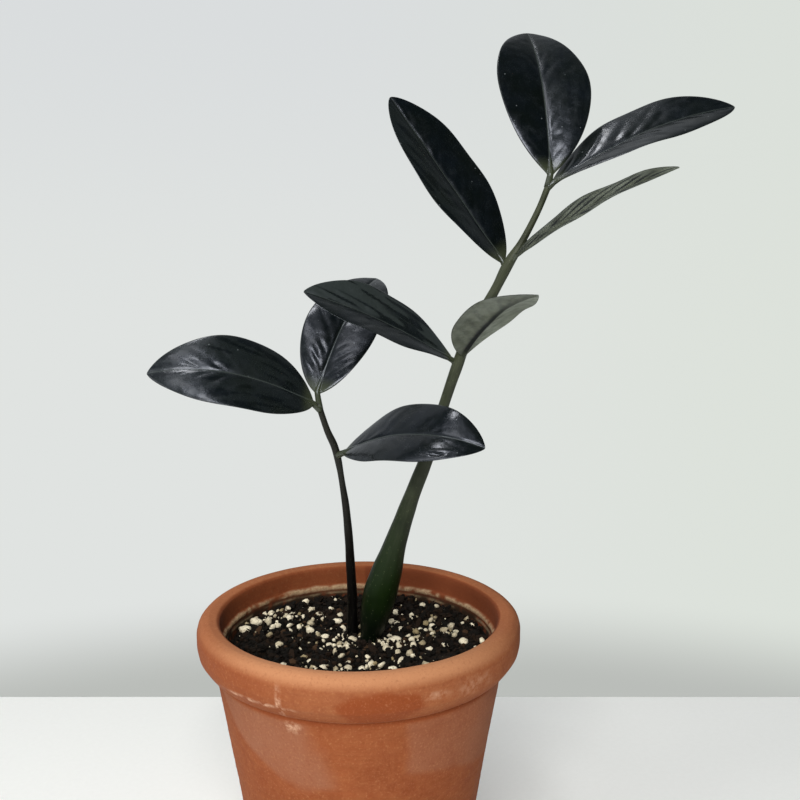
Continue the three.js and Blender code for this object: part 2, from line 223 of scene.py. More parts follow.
for view, layers in (
    (ROOM_DIM, ((soft["leftward"], ROOM_LEFT), (lit_wall, ROOM_WALL), (lit_ceiling, ROOM_CEILING))),
    (
        BACKDROP_MIDDLE,
        (
            (soft["above_eye"], BACKDROP_TOP),
            (soft["rightward"], BACKDROP_RIGHT),
            (soft["near_table"], BACKDROP_LOW),
        ),
    ),
):
    for share, colour in layers:
        view = add(tree, "Mix", {0: share, 6: view, 7: colour}, data_type="RGBA").outputs[2]
    scenes.append(view)
by_camera = add(tree, "LightPath").outputs["Is Camera Ray"]
view = add(tree, "Mix", {0: by_camera, 6: scenes[0], 7: scenes[1]}, data_type="RGBA").outputs[2]
light = add(tree, "Background", {"Color": view, "Strength": 1.0})
add(tree, "OutputWorld", {"Surface": light.outputs[0]})
bpy.context.scene.world = room

for name, right_of, up, distance, wide, tall, watts, colour in PANELS:
    panel = bpy.data.lights.new(name, "AREA")
    panel.shape = "RECTANGLE"
    panel.size, panel.size_y = wide * MM, tall * MM
    panel.energy = watts
    panel.color = linear(colour)[:3]
    lamp = bpy.data.objects.new(name, panel)
    across, rise = math.radians(right_of), math.radians(up)
    way_out = [math.sin(across) * math.cos(rise), -math.cos(across) * math.cos(rise), math.sin(rise)]
    way_out = np.array(way_out)
    lamp.location = POT_AXIS + (LIGHT_AIM + way_out * distance) * MM
    lamp.rotation_euler = Vector(-way_out).to_track_quat("-Z", "Y").to_euler()
    bpy.context.scene.collection.objects.link(lamp)

# ----------------------------------------------------------------------------------------------------------
# The pot: a 14 cm flowerpot of red earthenware, pressed and turned in a mould, fired and left unglazed.
# Its heavy rim steps over the body. Lime from the water has bloomed through it and left a crust inside.
# ----------------------------------------------------------------------------------------------------------
RIM_RADIUS, POT_HEIGHT, RIM_BAND = 70.0, 125.0, 21.0
MOUTH_RADIUS, NECK_RADIUS, FOOT_RADIUS = 60.0, 62.5, 46.0
WALL, FLOOR, DRAIN_RADIUS = 5.4, 8.0, 8.0
LEDGE_LEVEL, SOIL_LEVEL = 115.0, 108.0
POT_AROUND = 384
LIP_LEG, INSIDE_LEG = 13, 16  # of the profile's straight legs, the first one of the lip and of the inside


def noise(points, cell, seed=0):
    """Smooth value noise from -1 to 1: random numbers on a lattice cell mm apart, blended between the eight
    corners around each point by 3t squared less 2t cubed."""
    spot = np.asarray(points, float) / cell
    corner = np.floor(spot).astype(np.int64)
    share = spot - corner
    share = share * share * (3 - 2 * share)
    total = np.zeros(spot.shape[:-1])
    for step in np.ndindex(2, 2, 2):
        at = corner + np.array(step)
        mixed = at[..., 0] * 73856093 ^ at[..., 1] * 19349663 ^ at[..., 2] * 83492791 ^ (seed + 1) * 40503
        mixed = (mixed ^ mixed >> 13) * 1274126177
        mixed = (mixed ^ mixed >> 16) & 0xFFFF
        total += np.prod(np.where(step, share, 1 - share), axis=-1) * (mixed / 32767.5 - 1)
    return total


def smoothstep(value, low, high):
    """0 below low, 1 above high, and a soft S between; low above high turns it round."""
    share = np.clip((value - low) / (high - low), 0, 1)
    return share * share * (3 - 2 * share)


def wall_radius(height):
    """The inside radius of the body, a straight cone from the floor to the ledge."""
    share = (height - FLOOR) / (LEDGE_LEVEL - FLOOR)
    return FOOT_RADIUS - WALL + (MOUTH_RADIUS - 1.5 - FOOT_RADIUS + WALL) * share


def mark(piece, **fields):
    """Stores one number or one vector for each point of a piece's mesh, for its material to read."""
    for name, values in fields.items():
        values = np.asarray(values, np.float32)
        kind, key = ("FLOAT", "value") if values.ndim == 1 else ("FLOAT_VECTOR", "vector")
        piece.data.attributes.new(name, kind, "POINT").data.foreach_set(key, values.ravel())


band = POT_HEIGHT - RIM_BAND
pot_corners = [
    # radius, height and the spacing of rings from here on, all in mm: up the outside, then down the inside
    (DRAIN_RADIUS, 0.0, 3.0),
    (FOOT_RADIUS - 1.5, 0.0, 0.6),
    (FOOT_RADIUS, 1.5, 1.1),
    (NECK_RADIUS - 0.2, band - 1.5, 0.4),
    (NECK_RADIUS - 0.8, band - 0.6, 0.4),
    (NECK_RADIUS + 0.4, band, 0.5),
    (NECK_RADIUS + 3.2, band + 1.6, 0.6),
    (RIM_RADIUS - 2.2, band + 4.2, 0.6),
    (RIM_RADIUS - 0.6, band + 7.0, 0.7),
    (RIM_RADIUS, band + 10.5, 0.7),
    (RIM_RADIUS, POT_HEIGHT - 5.5, 0.5),
    (RIM_RADIUS - 0.8, POT_HEIGHT - 2.6, 0.5),
    (RIM_RADIUS - 2.8, POT_HEIGHT - 0.6, 0.5),
    (RIM_RADIUS - 5.0, POT_HEIGHT, 0.5),
    (MOUTH_RADIUS + 1.7, POT_HEIGHT - 0.5, 0.4),
    (MOUTH_RADIUS + 0.4, POT_HEIGHT - 1.6, 0.4),
    (MOUTH_RADIUS, POT_HEIGHT - 3.4, 0.5),
    (MOUTH_RADIUS - 0.6, LEDGE_LEVEL + 0.6, 0.35),
    (wall_radius(LEDGE_LEVEL), LEDGE_LEVEL, 0.6),
    (wall_radius(SOIL_LEVEL - 3), SOIL_LEVEL - 3, 8.0),
    (wall_radius(FLOOR + 3), FLOOR + 3, 1.5),
    (wall_radius(FLOOR) - 2.5, FLOOR, 5.0),
    (DRAIN_RADIUS, FLOOR, 2.0),
]
corner = np.array(pot_corners)
leg = np.hypot(*(np.roll(corner, -1, axis=0) - corner)[:, :2].T)
steps = np.maximum(1, np.ceil(leg / corner[:, 2])).astype(int)
profile = np.concatenate(
    [
        corner[i, :2] + (corner[(i + 1) % len(corner), :2] - corner[i, :2]) * np.arange(n)[:, None] / n
        for i, n in enumerate(steps)
    ]
)
which_leg = np.repeat(np.arange(len(corner)), steps)
on_lip = (which_leg >= LIP_LEG) & (which_leg < INSIDE_LEG)
for _ in range(3):  # rounds the corners that hands and sponge rounded, and leaves the lip crisper
    before, after = np.roll(profile, 1, axis=0), np.roll(profile, -1, axis=0)
    rounded = (np.hypot(*(before - after).T) < 2.6)[:, None] & (profile[:, 1:] > 0.3)
    share = np.where(on_lip, 0.2, 0.55)[:, None]
    profile = np.where(rounded, profile * (1 - share) + (before + after) / 2 * share, profile)

turn = np.linspace(0, 2 * np.pi, POT_AROUND, endpoint=False)  # from the front, to the right
radius, height = profile[:, :1], profile[:, 1:]
round_x, round_y = np.sin(turn)[None], -np.cos(turn)[None]
pot_points = np.stack([radius * round_x, radius * round_y, height + 0 * round_x], axis=-1)
inside = (which_leg >= INSIDE_LEG)[:, None]
throw_marks = noise(np.stack([0 * height, 0 * height, height], -1), 1.7, 3) * 0.05
wobble = noise(pot_points, 34, 1) * 0.28 + noise(pot_points, 9, 2) * 0.1 + noise(pot_points, 2.6, 4) * 0.035
crumbled = np.clip(noise(pot_points, 3.4, 6) - 0.5, 0, 1) * 0.35 * smoothstep(height, band - 4, band)
push = (wobble + throw_marks - crumbled) * smoothstep(height, 0.5, 4.0)

# Lime crust: a broken pale line where the water stood, on the ledge inside and a little above it.
crust_top = LEDGE_LEVEL + 0.1 + 0.7 * noise(pot_points, 6, 11)
crust = smoothstep(height, LEDGE_LEVEL - 1.9, LEDGE_LEVEL - 0.9)
crust = crust * (1 - smoothstep(height, crust_top, crust_top + 0.9)) * inside
crust = crust * smoothstep(noise(pot_points, 2.4, 12) + 0.8 * noise(pot_points, 13, 13), -0.9, 0.1)
older = 1 - smoothstep(np.abs(height - LEDGE_LEVEL + 3.3 - 0.5 * noise(pot_points, 8, 15)), 0.2, 0.8)
crust = np.maximum(crust, 0.5 * older * inside * smoothstep(noise(pot_points, 5, 16), -0.35, 0.25))
push = push - crust * (0.4 + 0.4 * noise(pot_points, 1.5, 14))
pot_points = pot_points + push[..., None] * np.stack([round_x, round_y, 0 * round_x], -1)


side = (np.degrees(turn)[None] + 180) % 360 - 180  # degrees to the right of the front


def patch(across, up, half_across, half_up, soften):
    """An oval mark on the outside: 1 within, 0 beyond, for a place in degrees from the front and mm up."""
    away = np.hypot((side - across) / half_across, (height - up) / half_up)
    away = away + 0.22 * noise(pot_points, 6, int(across) + 500)
    return (1 - smoothstep(away, 1 - soften, 1 + soften)) * ~inside


# 1 on the side towards the light in front and 0 round the back: it paints a highlight on the rim's front and
# shade on the back of its crest.
front_lit = smoothstep(np.cos(np.radians(side - 4)), 0.3, 0.92)
on_rim = smoothstep(height, band + 1.5, band + 6) * ~inside
crest = smoothstep(height, POT_HEIGHT - 6, POT_HEIGHT - 1.0)
lip = smoothstep(height, POT_HEIGHT - 0.5, POT_HEIGHT - 1.4) * (which_leg >= LIP_LEG)[:, None]

# Damp and painted shade: an oval spill mark on the rim in front, painted shade in the groove below the rim
# and on the rim's face to the left, and inside, the soaked wall, darkened by damp and painted shade together.
spill = patch(9, 111.5, 13.2, 7.8, 0.16)
spill_and_rim_shade = spill + 0.6 * on_rim * smoothstep(side, -12, -38) * (1 - crest)
spill_and_rim_shade = np.clip(spill_and_rim_shade + 0.8 * (1 - smoothstep(np.abs(height - band + 1.0), 0.5, 2.0)) * ~inside, 0, 1)
# Damp and painted shade inside: the lip's inner edge, less on the left, the wall below the ledge, and the
# right side, which is darker; and painted shade on the back of the crest, away from the lit front.
lip_damp_and_shade = lip * (0.5 + 0.35 * smoothstep(side, -100, -40))
wall_damp_and_shade = inside * smoothstep(height, LEDGE_LEVEL - 0.4, LEDGE_LEVEL - 1.8) * 0.95
damp_and_inner_shade = np.maximum(lip_damp_and_shade, wall_damp_and_shade)
damp_and_inner_shade = np.maximum(damp_and_inner_shade, inside * 0.8 * smoothstep(np.abs(side - 80), 95, 60))
damp_and_inner_shade = np.maximum(damp_and_inner_shade, 0.06 * crest * (1 - front_lit) * (0.8 + 0.6 * noise(pot_points, 15, 22)))

low_wall = inside * smoothstep(height, LEDGE_LEVEL + 0.6, LEDGE_LEVEL - 3.5)
grime = low_wall * smoothstep(noise(pot_points, 2.0, 17) + 0.6 * noise(pot_points, 7, 18), -1.3, 0.1)

# Lime bloom: two clouds below the rim, whose lower edges are the tide lines of an old watering.
ragged = 1.6 * noise(pot_points, 11, 23) + 0.7 * noise(pot_points, 3.5, 24)
left_tide = height - (71.2 + 0.0125 * (side + 17) ** 2) + ragged
left_end = side + 9 + 0.35 * (height - 72) + 2 * ragged
bloom = smoothstep(left_tide, -1.6, 2.2) * (1 - smoothstep(left_end, -6, 7)) * smoothstep(side, -112, -80)
right_tide = height - (84 - 0.24 * side) + ragged
right_cloud = smoothstep(right_tide, -1.6, 2.2) * smoothstep(side + ragged, 18, 23)
right_cloud = right_cloud * (1 - smoothstep(side, 80, 115))
bloom = bloom + 0.75 * right_cloud + 0.8 * patch(150, 72, 34, 26, 0.25) + 0.7 * patch(-145, 46, 26, 20, 0.25)
bloom = bloom + 0.6 * patch(60, 24, 26, 13, 0.3) + 0.5 * patch(-70, 18, 30, 10, 0.3)
bloom = np.clip(bloom, 0, 1) * (1 - smoothstep(height, band - 4, band - 1)) * ~inside

# Chalk: a dried trickle, a dab under it, a dotted line where the rim was set down, and faint scuffs.
chalk = patch(-24, 112, 0.75, 6.6, 0.7) + patch(-22.5, 99.2, 3.6, 2.0, 0.7)
chalk = chalk + 0.85 * patch(-33, 110.3, 13.5, 0.8, 0.7) + 0.4 * patch(27, 115, 3.2, 1.4, 0.8)
chalk = chalk + 0.26 * patch(42, 114.5, 7, 3.2, 0.8) + 0.5 * patch(120, 110, 16, 1.6, 0.8)
chalk = np.clip(chalk + 0.5 * patch(-150, 113, 12, 2.4, 0.8) + 0.6 * patch(172, 92, 1.0, 9, 0.7), 0, 1)
# Rubbed rim top, paler from wear, with a painted highlight that grows towards the lit front.
wear_and_front_highlight = smoothstep(height, POT_HEIGHT - 7, POT_HEIGHT - 1.5) * (1 - lip) * (0.3 + 0.7 * front_lit)
wear_and_front_highlight = np.maximum(wear_and_front_highlight, 0.16 * on_rim * (1 - spill) * (0.5 + 0.5 * front_lit)) * (1 - lip)

clay_pot = loft("clay_flowerpot", pot_points, looped=True)
pot_fields = {
    "spill_and_rim_shade": spill_and_rim_shade,
    "bloom": bloom,
    "chalk": chalk,
    "crust": crust,
    "grime": grime,
    "wear_and_front_highlight": wear_and_front_highlight,
    "damp_and_inner_shade": damp_and_inner_shade,
}
mark(clay_pot, **{name: field.ravel() for name, field in pot_fields.items()})

# Fired red earthenware, unglazed: a dull orange brown with cloudy firing, grog grit and faint turning lines.
# Lime bloom greys and pales it, damp and painted shade darken it, a painted highlight pales the rim's front,
# and the crust is a rough cream.
terracotta, tree = blank_material("unglazed_earthenware")
place = add(tree, "TexCoord").outputs["Object"]
flat = add(tree, "Mapping", {"Vector": place, "Scale": (0.08, 0.08, 1.0)}).outputs[0]
cloud, mottle, grit, turning = (
    add(
        tree,
        "TexNoise",
        {"Vector": vector, "Scale": 1 / (size * MM), "Detail": detail, "Roughness": roughness},
    ).outputs["Fac"]
    for vector, size, detail, roughness in (
        (place, 26, 4.0, 0.6),
        (place, 3.2, 5.0, 0.65),
        (place, 1.0, 3.0, 0.6),
        (flat, 1.3, 3.0, 0.5),
    )
)
fields = {name: add(tree, "Attribute", attribute_name=name).outputs["Fac"] for name in pot_fields}
ramps = {
    name: add(tree, "MapRange", {0: source, 1: low, 2: high, 3: least, 4: most}).outputs[0]
    for name, source, low, high, least, most in (
        ("cloudy", cloud, 0.32, 0.68, 0.0, 1.0),
        ("speck", mottle, 0.36, 0.7, 0.0, 0.55),
        ("dark_line", turning, 0.52, 0.75, 0.0, 0.3),
        ("patchy", cloud, 0.3, 0.75, 0.35, 0.85),
        ("pale_grog", grit, 0.56, 0.74, 0.0, 0.2),
        ("dark_grog", grit, 0.44, 0.28, 0.0, 0.3),
        ("rubbed", mottle, 0.42, 0.66, 0.0, 1.0),
        ("scale", grit, 0.3, 0.7, 0.35, 1.0),
        ("dull", fields["spill_and_rim_shade"], 0.0, 1.0, 0.86, 0.66),
        ("uneven", mottle, 0.3, 0.7, -0.05, 0.06),
    )
}
haze, spill_and_rim_shade_share, chalked, limed = (
    add(tree, "Math", {0: fields[name], 1: factor}, operation="MULTIPLY").outputs[0]
    for name, factor in (
        ("bloom", ramps["patchy"]),
        ("spill_and_rim_shade", 0.75),
        ("chalk", ramps["rubbed"]),
        ("crust", ramps["scale"]),
    )
)
body = linear("844223")
for share, code in (
    (ramps["cloudy"], "94502D"),
    (ramps["speck"], "9C5E3A"),
    (ramps["dark_line"], "773B1B"),
    (haze, "95644D"),
    # the rubbed rim, paler, with a painted highlight towards the front
    (fields["wear_and_front_highlight"], "B87F5A"),
    # the spill mark, with painted shade in the groove under the rim and on the rim's face to the left
    (spill_and_rim_shade_share, "873E18"),
    (ramps["pale_grog"], "D39B6E"),
    (ramps["dark_grog"], "74391C"),
    # damp and painted shade inside the pot, under the lip and on the back of the crest
    (fields["damp_and_inner_shade"], "6E361E"),
    (fields["grime"], "2A1C10"),
    (chalked, "D9AF92"),
    (limed, "B39C7C"),
):
    body = add(tree, "Mix", {0: share, 6: body, 7: linear(code)}, data_type="RGBA").outputs[2]
rough = add(tree, "Math", {0: ramps["dull"], 1: ramps["uneven"]}, operation="ADD").outputs[0]
relief = {}
for height_map, strength, depth in ((mottle, 0.35, 0.5), (turning, 0.3, 0.18), (grit, 0.6, 0.22)):
    bump = add(tree, "Bump", {"Height": height_map, "Strength": strength, "Distance": depth * MM, **relief})
    relief = {"Normal": bump.outputs[0]}
finish = add(
    tree,
    "BsdfPrincipled",
    {"Base Color": body, "Roughness": rough, "Specular IOR Level": 0.18, **relief},
)
add(tree, "OutputMaterial", {"Surface": finish.outputs[0]})
clay_pot.data.materials.append(terracotta)
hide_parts("pot")
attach(clay_pot, "root")

# ----------------------------------------------------------------------------------------------------------
# The potting mix: peat, composted bark and fibre, filled to 17 mm below the rim and heaped 3 mm towards the
# wall. The bed is one lumpy body, and about five thousand crumbs and bark chips lie on it, half sunk.
# ----------------------------------------------------------------------------------------------------------
SOIL_RISE = 3.2
BED_RADIUS = float(wall_radius(SOIL_LEVEL + 1)) - 0.35
BED_RINGS, BED_AROUND = 112, 420
CRUMBS, SLIVERS = 5200, 150
STEM_SPOTS = [(4.8, 7.0, 4.9), (-3.7, 13.9, 2.6)]  # x, y and radius where the stems come up

grain_nodes = sorted(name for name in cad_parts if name.startswith("perlite_"))
grain_boxes = [(np.array([list(point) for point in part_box(node)]) - POT_AXIS) / MM for node in grain_nodes]
grain_spots = [(*box.mean(0)[:2], (box[1, 0] - box[0, 0]) / 2) for box in grain_boxes]


def soil_level(x, y):
    """The height of the bed: two gentle waves across the pot, heaped by SOIL_RISE towards the wall, and lower
    within 6 mm of it."""
    level = SOIL_LEVEL + 0.5 * np.sin(x / 7) * np.cos(y / 9) + 0.3 * np.sin((x + 2 * y) / 6)
    level = level + SOIL_RISE * smoothstep(np.hypot(x, y), 24, 50)
    return level - 1.5 * smoothstep(np.hypot(x, y), BED_RADIUS - 6, BED_RADIUS)


ring_radius = np.linspace(0.4, BED_RADIUS, BED_RINGS)[:, None]
bed_turn = np.linspace(0, 2 * np.pi, BED_AROUND, endpoint=False)[None]
bed_x, bed_y = ring_radius * np.cos(bed_turn), ring_radius * np.sin(bed_turn)
bed_top = np.stack([bed_x, bed_y, soil_level(bed_x, bed_y)], -1)
lumps = noise(bed_top, 5.5, 31) * 0.9 + np.abs(noise(bed_top, 2.3, 32)) * 1.1 + noise(bed_top, 1.1, 33) * 0.35
bed_top[..., 2] += lumps * (1 - smoothstep(ring_radius, BED_RADIUS - 1.2, BED_RADIUS)) - 0.5
side_height = np.linspace(SOIL_LEVEL - 6, FLOOR + 3.2, 8)[:, None]
side_radius = wall_radius(side_height) - 0.35
under_radius = np.array([wall_radius(FLOOR) - 3.2, 24.0, 6.0])[:, None]
bed_side, bed_under = (
    np.stack([reach * np.cos(bed_turn), reach * np.sin(bed_turn), level + 0 * reach * bed_turn], -1)
    for reach, level in ((side_radius, side_height), (under_radius, FLOOR + 0.35))
)
soil_bed = loft("soil_bed", np.concatenate([bed_top, bed_side, bed_under]))


def chips(name, at, size, flatness, ragged, rng, smooth, slim=0.55):
    """Many small lumps as one mesh. Each is 3 rings of 6 points and 2 poles on a sphere, pushed in and out at
    random by ragged, stretched by size, by a width between slim and the whole size and by flatness, turned at
    random and set down at its place."""
    tilt = np.radians([-90, -48, -48, -48, -48, -48, -48, 0, 0, 0, 0, 0, 0, 48, 48, 48, 48, 48, 48, 90])
    sixths = np.arange(6) * 60
    spin = np.radians(np.concatenate([[0], sixths, sixths + 30, sixths, [0]]))
    ball = np.stack([np.cos(tilt) * np.cos(spin), np.cos(tilt) * np.sin(spin), np.sin(tilt)], -1)
    count = len(at)
    lump = ball[None] * (1 + ragged * rng.uniform(-1, 1, (count, 20, 1)))
    width = size * rng.uniform(slim, slim + 0.45, count)
    lump = lump * np.stack([size, width, size * flatness], -1)[:, None] / 2
    quat = rng.normal(size=(count, 4)) * np.array([1.6, 0.5, 0.5, 1.2])
    w, x, y, z = (quat / np.linalg.norm(quat, axis=1, keepdims=True)).T
    turned = np.empty((count, 3, 3))
    turned[:, 0] = np.stack([1 - 2 * (y * y + z * z), 2 * (x * y - w * z), 2 * (x * z + w * y)], -1)
    turned[:, 1] = np.stack([2 * (x * y + w * z), 1 - 2 * (x * x + z * z), 2 * (y * z - w * x)], -1)
    turned[:, 2] = np.stack([2 * (x * z - w * y), 2 * (y * z + w * x), 1 - 2 * (x * x + y * y)], -1)
    lump = np.einsum("nij,nkj->nki", turned, lump) + at[:, None]
    rings = 1 + np.arange(18).reshape(3, 6)
    beside = np.roll(rings, -1, axis=1)
    quads = np.stack([rings[:-1], beside[:-1], beside[1:], rings[1:]], -1).reshape(-1, 4)
    tops = np.stack([np.full(6, 19), rings[2], beside[2]], -1)
    ends = np.stack([np.full(6, 0), beside[0], rings[0]], -1)
    shift = (np.arange(count) * 20)[:, None, None]
    faces = [(part[None] + shift).reshape(-1, part.shape[1]) for part in (quads, tops, ends)]
    piece = closed_mesh(name, lump.reshape(-1, 3), faces, smooth)
    mark(piece, tone=np.repeat(rng.uniform(0, 1, count), 20))
    return piece


def strewn(count, rng):
    """Even random places on the bed, as x and y, clear of the stems and of the middles of the big grains."""
    away = (BED_RADIUS - 1.0) * np.sqrt(rng.uniform(0, 1, count * 2))
    way = rng.uniform(0, 2 * np.pi, count * 2)
    x, y = away * np.cos(way), away * np.sin(way)
    taken = STEM_SPOTS + [(a, b, 0.8 * r) for a, b, r in grain_spots]
    free = np.all([np.hypot(x - a, y - b) > r for a, b, r in taken], axis=0)
    return x[free][:count], y[free][:count]


rng = np.random.default_rng(7)
crumb_x, crumb_y = strewn(CRUMBS, rng)
crumb_size = 0.7 + 2.7 * rng.uniform(0, 1, CRUMBS) ** 2.6
crumb_z = soil_level(crumb_x, crumb_y) + 0.28 * crumb_size + rng.uniform(-0.4, 0.5, CRUMBS)
crumb_at = np.stack([crumb_x, crumb_y, crumb_z], -1)
crumbs = chips("bark_crumbs", crumb_at, crumb_size, rng.uniform(0.3, 0.9, CRUMBS), 0.3, rng, False)
sliver_x, sliver_y = strewn(SLIVERS, rng)
sliver_z = soil_level(sliver_x, sliver_y) + rng.uniform(0.6, 1.6, SLIVERS)
sliver_at = np.stack([sliver_x, sliver_y, sliver_z], -1)
slivers = chips("bark_slivers", sliver_at, rng.uniform(3.0, 7.0, SLIVERS), 0.12, 0.2, rng, False, 0.22)
bed_at = np.empty(len(soil_bed.data.vertices) * 3, np.float32)
soil_bed.data.vertices.foreach_get("co", bed_at)
mark(soil_bed, tone=0.5 + 0.5 * noise(bed_at.reshape(-1, 3) / MM, 3.0, 35))

# Damp peat and bark: almost black, with brown and a few rusty crumbs, dull, and rough all over.
mix, tree = blank_material("damp_peat_and_bark")
place = add(tree, "TexCoord").outputs["Object"]
tone = add(tree, "Attribute", attribute_name="tone").outputs["Fac"]
fibre, dirt_grain = (
    add(
        tree,
        "TexNoise",
        {"Vector": place, "Scale": 1 / (size * MM), "Detail": detail, "Roughness": roughness},
    ).outputs["Fac"]
    for size, detail, roughness in ((1.4, 5.0, 0.7), (0.4, 2.0, 0.5))
)
dirt = linear("0B0805")
for source, low, high, most, code in (
    (tone, 0.45, 1.0, 1.0, "24180F"),
    (tone, 0.95, 0.97, 0.6, "4A3524"),
    (fibre, 0.55, 0.8, 0.5, "35281C"),
):
    share = add(tree, "MapRange", {0: source, 1: low, 2: high, 3: 0.0, 4: most}).outputs[0]
    dirt = add(tree, "Mix", {0: share, 6: dirt, 7: linear(code)}, data_type="RGBA").outputs[2]
rough = add(tree, "MapRange", {0: fibre, 1: 0.3, 2: 0.7, 3: 0.75, 4: 0.98}).outputs[0]
relief = {}
for height_map, strength, depth in ((fibre, 0.9, 0.8), (dirt_grain, 0.6, 0.2)):
    bump = add(tree, "Bump", {"Height": height_map, "Strength": strength, "Distance": depth * MM, **relief})
    relief = {"Normal": bump.outputs[0]}
finish = add(
    tree,
    "BsdfPrincipled",
    {"Base Color": dirt, "Roughness": rough, "Specular IOR Level": 0.16, **relief},
)
add(tree, "OutputMaterial", {"Surface": finish.outputs[0]})
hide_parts("soil")
for piece in (soil_bed, crumbs, slivers):
    piece.data.materials.append(mix)
    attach(piece, "root")

# ----------------------------------------------------------------------------------------------------------
# The perlite: volcanic glass puffed by heat into light, white, pitted grains that float up in watering.
# The big ones lie where the frame has them, and small ones and dust are strewn between, in drifts.
# ----------------------------------------------------------------------------------------------------------
SMALL_GRAINS = 350
GRAIN_RINGS, GRAIN_AROUND = 14, 22
DRIFTS = [  # x, y and spread in mm of the places where small grains gathered, and each one's share of them
    (-44.0, 22.0, 7.0, 1.1),
    (-36.0, 33.0, 6.0, 0.7),
    (-24.0, 14.0, 7.0, 0.8),
    (-14.0, 24.0, 7.0, 0.9),
    (-8.0, 4.0, 5.0, 1.2),
    (17.0, 2.0, 6.0, 2.0),
    (23.0, 18.0, 8.0, 1.3),
    (40.0, 10.0, 7.0, 1.6),
    (8.0, -26.0, 9.0, 1.0),
    (28.0, -20.0, 8.0, 0.9),
    (-24.0, -22.0, 9.0, 0.8),
    (0.0, 36.0, 12.0, 0.8),
]

# Puffed perlite: a warm white, dull as chalk, with brown peat stain in patches and in the pits.
puffed, tree = blank_material("puffed_perlite")
place = add(tree, "TexCoord").outputs["Object"]
tone = add(tree, "Attribute", attribute_name="tone").outputs["Fac"]
pits = add(tree, "TexVoronoi", {"Vector": place, "Scale": 1 / (0.9 * MM), "Randomness": 1.0})
stain = add(tree, "TexNoise", {"Vector": place, "Scale": 1 / (2.0 * MM), "Detail": 4.0, "Roughness": 0.7})
pit_depth = pits.outputs["Distance"]
white = linear("8A7A58")
for source, low, high, least, most, code in (
    (tone, 0.0, 0.55, 0.0, 1.0, "E4DAC2"),
    (stain.outputs["Fac"], 0.48, 0.74, 0.0, 0.8, "6E5C3F"),
    (pit_depth, 0.0, 0.35, 0.45, 0.0, "9C8C6E"),
):
    share = add(tree, "MapRange", {0: source, 1: low, 2: high, 3: least, 4: most}).outputs[0]
    white = add(tree, "Mix", {0: share, 6: white, 7: linear(code)}, data_type="RGBA").outputs[2]
holes = add(tree, "Bump", {"Height": pit_depth, "Strength": 0.7, "Distance": 0.4 * MM}).outputs[0]
rough = add(tree, "MapRange", {0: stain.outputs["Fac"], 1: 0.3, 2: 0.7, 3: 0.82, 4: 0.97}).outputs[0]
finish = add(tree, "BsdfPrincipled", {"Base Color": white, "Roughness": rough, "Normal": holes})
add(tree, "OutputMaterial", {"Surface": finish.outputs[0]})


def grain(name, middle, half, seed, rng):
    """One puffed grain: a sphere stretched to half its box each way, swelled and sunk by noise in three sizes
    of lobes and pits, from nine tenths of its half width to a fifth of it."""
    tilt = np.linspace(-np.pi / 2, np.pi / 2, GRAIN_RINGS + 2)[1:-1, None]
    spin = np.linspace(0, 2 * np.pi, GRAIN_AROUND, endpoint=False)[None]
    ball = np.stack([np.cos(tilt) * np.cos(spin), np.cos(tilt) * np.sin(spin), np.sin(tilt) + 0 * spin], -1)
    swell = 1 + 0.2 * noise(ball, 0.9, seed) + 0.08 * noise(ball, 0.42, seed + 1)
    swell = swell + 0.03 * noise(ball, 0.2, seed + 2)
    points = ball * swell[..., None] * half + middle
    piece = loft(name, points)
    mark(piece, tone=np.full(len(piece.data.vertices), rng.uniform(0.2, 1.0)))
    return piece


rng = np.random.default_rng(21)
for number, (node, box) in enumerate(zip(grain_nodes, grain_boxes)):
    middle, half = box.mean(0), (box[1] - box[0]) / 2
    piece = grain(node.replace("perlite", "perlite_grain"), middle, half, 60 + 5 * number, rng)
    piece.data.materials.append(puffed)
    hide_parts(node)
    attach(piece, "root")

weight = np.array([drift[3] for drift in DRIFTS])
picked = rng.choice(len(DRIFTS), SMALL_GRAINS, p=weight / weight.sum())
centre = np.array([drift[:2] for drift in DRIFTS])[picked]
drift_size = np.array([drift[2] for drift in DRIFTS])[picked]
small_x, small_y = (centre + rng.normal(size=(SMALL_GRAINS, 2)) * drift_size[:, None]).T
plain_x, plain_y = strewn(SMALL_GRAINS // 4, rng)
small_x, small_y = np.concatenate([small_x, plain_x]), np.concatenate([small_y, plain_y])
small_size = 0.8 + 3.6 * rng.uniform(0, 1, len(small_x)) ** 1.9
kept = np.hypot(small_x, small_y) < BED_RADIUS - 1.5
for x, y, r in STEM_SPOTS + [(x, y, r * 0.9) for x, y, r in grain_spots]:
    kept &= np.hypot(small_x - x, small_y - y) > r + 0.3 * small_size
small_x, small_y, small_size = small_x[kept], small_y[kept], small_size[kept]
small_z = soil_level(small_x, small_y) + 0.5 + rng.uniform(0.0, 0.25, len(small_x)) * small_size
small_at = np.stack([small_x, small_y, small_z], -1)
small_flatness = rng.uniform(0.45, 0.8, len(small_x))
small_grains = chips("perlite_small", small_at, small_size, small_flatness, 0.28, rng, True, 0.45)
small_grains.data.materials.append(puffed)
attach(small_grains, "root")

